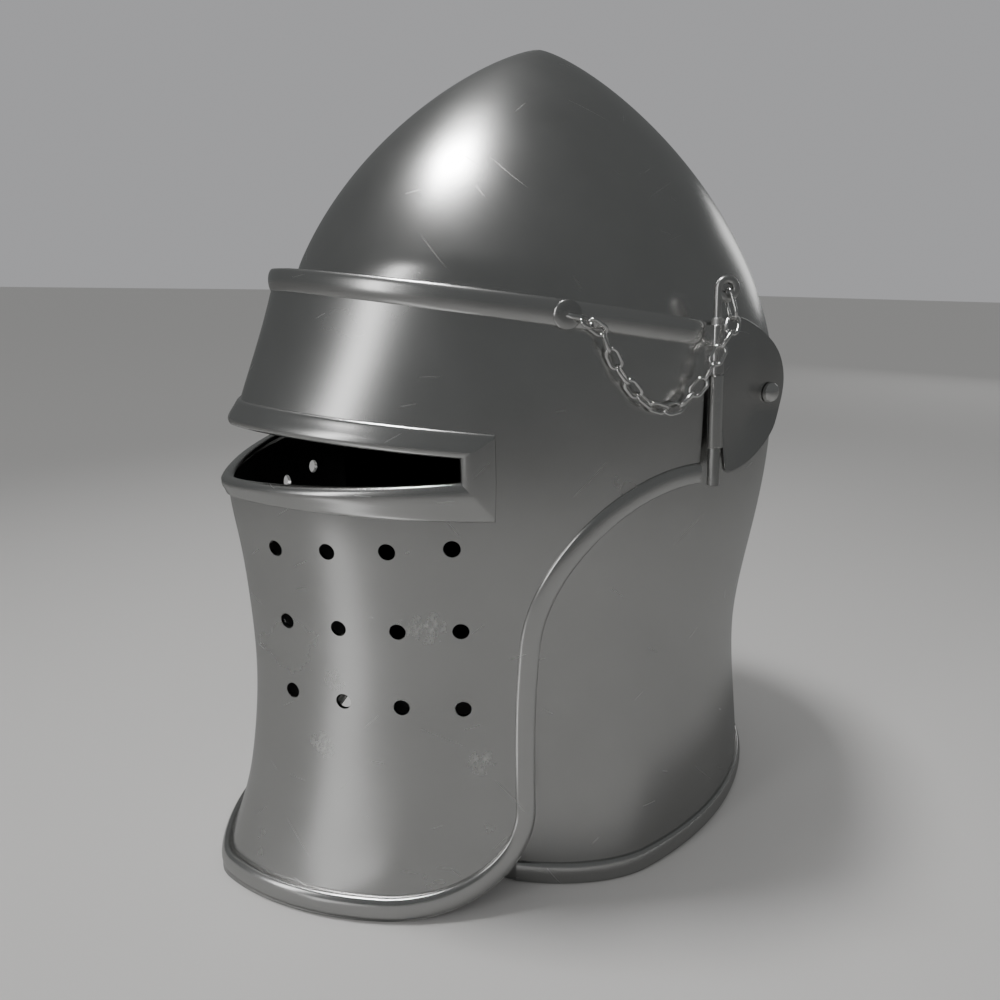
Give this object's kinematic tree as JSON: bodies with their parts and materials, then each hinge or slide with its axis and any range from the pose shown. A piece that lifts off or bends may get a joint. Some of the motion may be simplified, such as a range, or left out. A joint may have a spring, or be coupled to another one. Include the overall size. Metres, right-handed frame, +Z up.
{
  "type": "great helm with lifting visor",
  "caption": "Pointed steel great helm with a ridged, pierced visor that lifts on side pivots and is held by loose hinge pins on short chains.",
  "frame": {"origin": "middle of the base, on the surface that the helm stands on", "axes": "+Z up, -Y the way the wearer faces, +X the wearer's left"},
  "size_m": [0.2272, 0.2978, 0.35],
  "materials": {
    "skull_steel": "bright polished steel plate with fine brush marks and light scratches",
    "visor_steel": "bright polished steel plate with fine brush marks and rubbed patches",
    "arm_steel": "polished steel plate and rivets",
    "pin_steel": "matt plated steel rod with a bright loop",
    "chain_steel": "bright plated wire"
  },
  "bodies": {
    "skull": {"skull": "skull_steel", "pivot_rivet_left": "arm_steel", "pivot_rivet_right": "arm_steel"},
    "visor": {"visor": "visor_steel", "pivot_arm_left": "arm_steel", "pivot_arm_right": "arm_steel", "hinge_pin_left": "pin_steel", "hinge_pin_right": "pin_steel", "chain_anchor_left": "arm_steel", "chain_anchor_right": "arm_steel", "chain_link_left_01": "chain_steel", "chain_link_left_02": "chain_steel", "chain_link_left_03": "chain_steel", "chain_link_left_04": "chain_steel", "chain_link_left_05": "chain_steel", "chain_link_left_06": "chain_steel", "chain_link_left_07": "chain_steel", "chain_link_left_08": "chain_steel", "chain_link_left_09": "chain_steel", "chain_link_left_10": "chain_steel", "chain_link_left_11": "chain_steel", "chain_link_left_12": "chain_steel", "chain_link_left_13": "chain_steel", "chain_link_left_14": "chain_steel", "chain_link_left_15": "chain_steel", "chain_link_right_01": "chain_steel", "chain_link_right_02": "chain_steel", "chain_link_right_03": "chain_steel", "chain_link_right_04": "chain_steel", "chain_link_right_05": "chain_steel", "chain_link_right_06": "chain_steel", "chain_link_right_07": "chain_steel", "chain_link_right_08": "chain_steel", "chain_link_right_09": "chain_steel", "chain_link_right_10": "chain_steel", "chain_link_right_11": "chain_steel", "chain_link_right_12": "chain_steel", "chain_link_right_13": "chain_steel", "chain_link_right_14": "chain_steel", "chain_link_right_15": "chain_steel"}
  },
  "joints": [
    {"name": "visor_pivot", "type": "hinge", "parent": "skull", "child": "visor", "pos_m": [0, 0.06328, 0.212], "axis": [-1, 0, 0], "range_deg": [0, 75]}
  ]
}
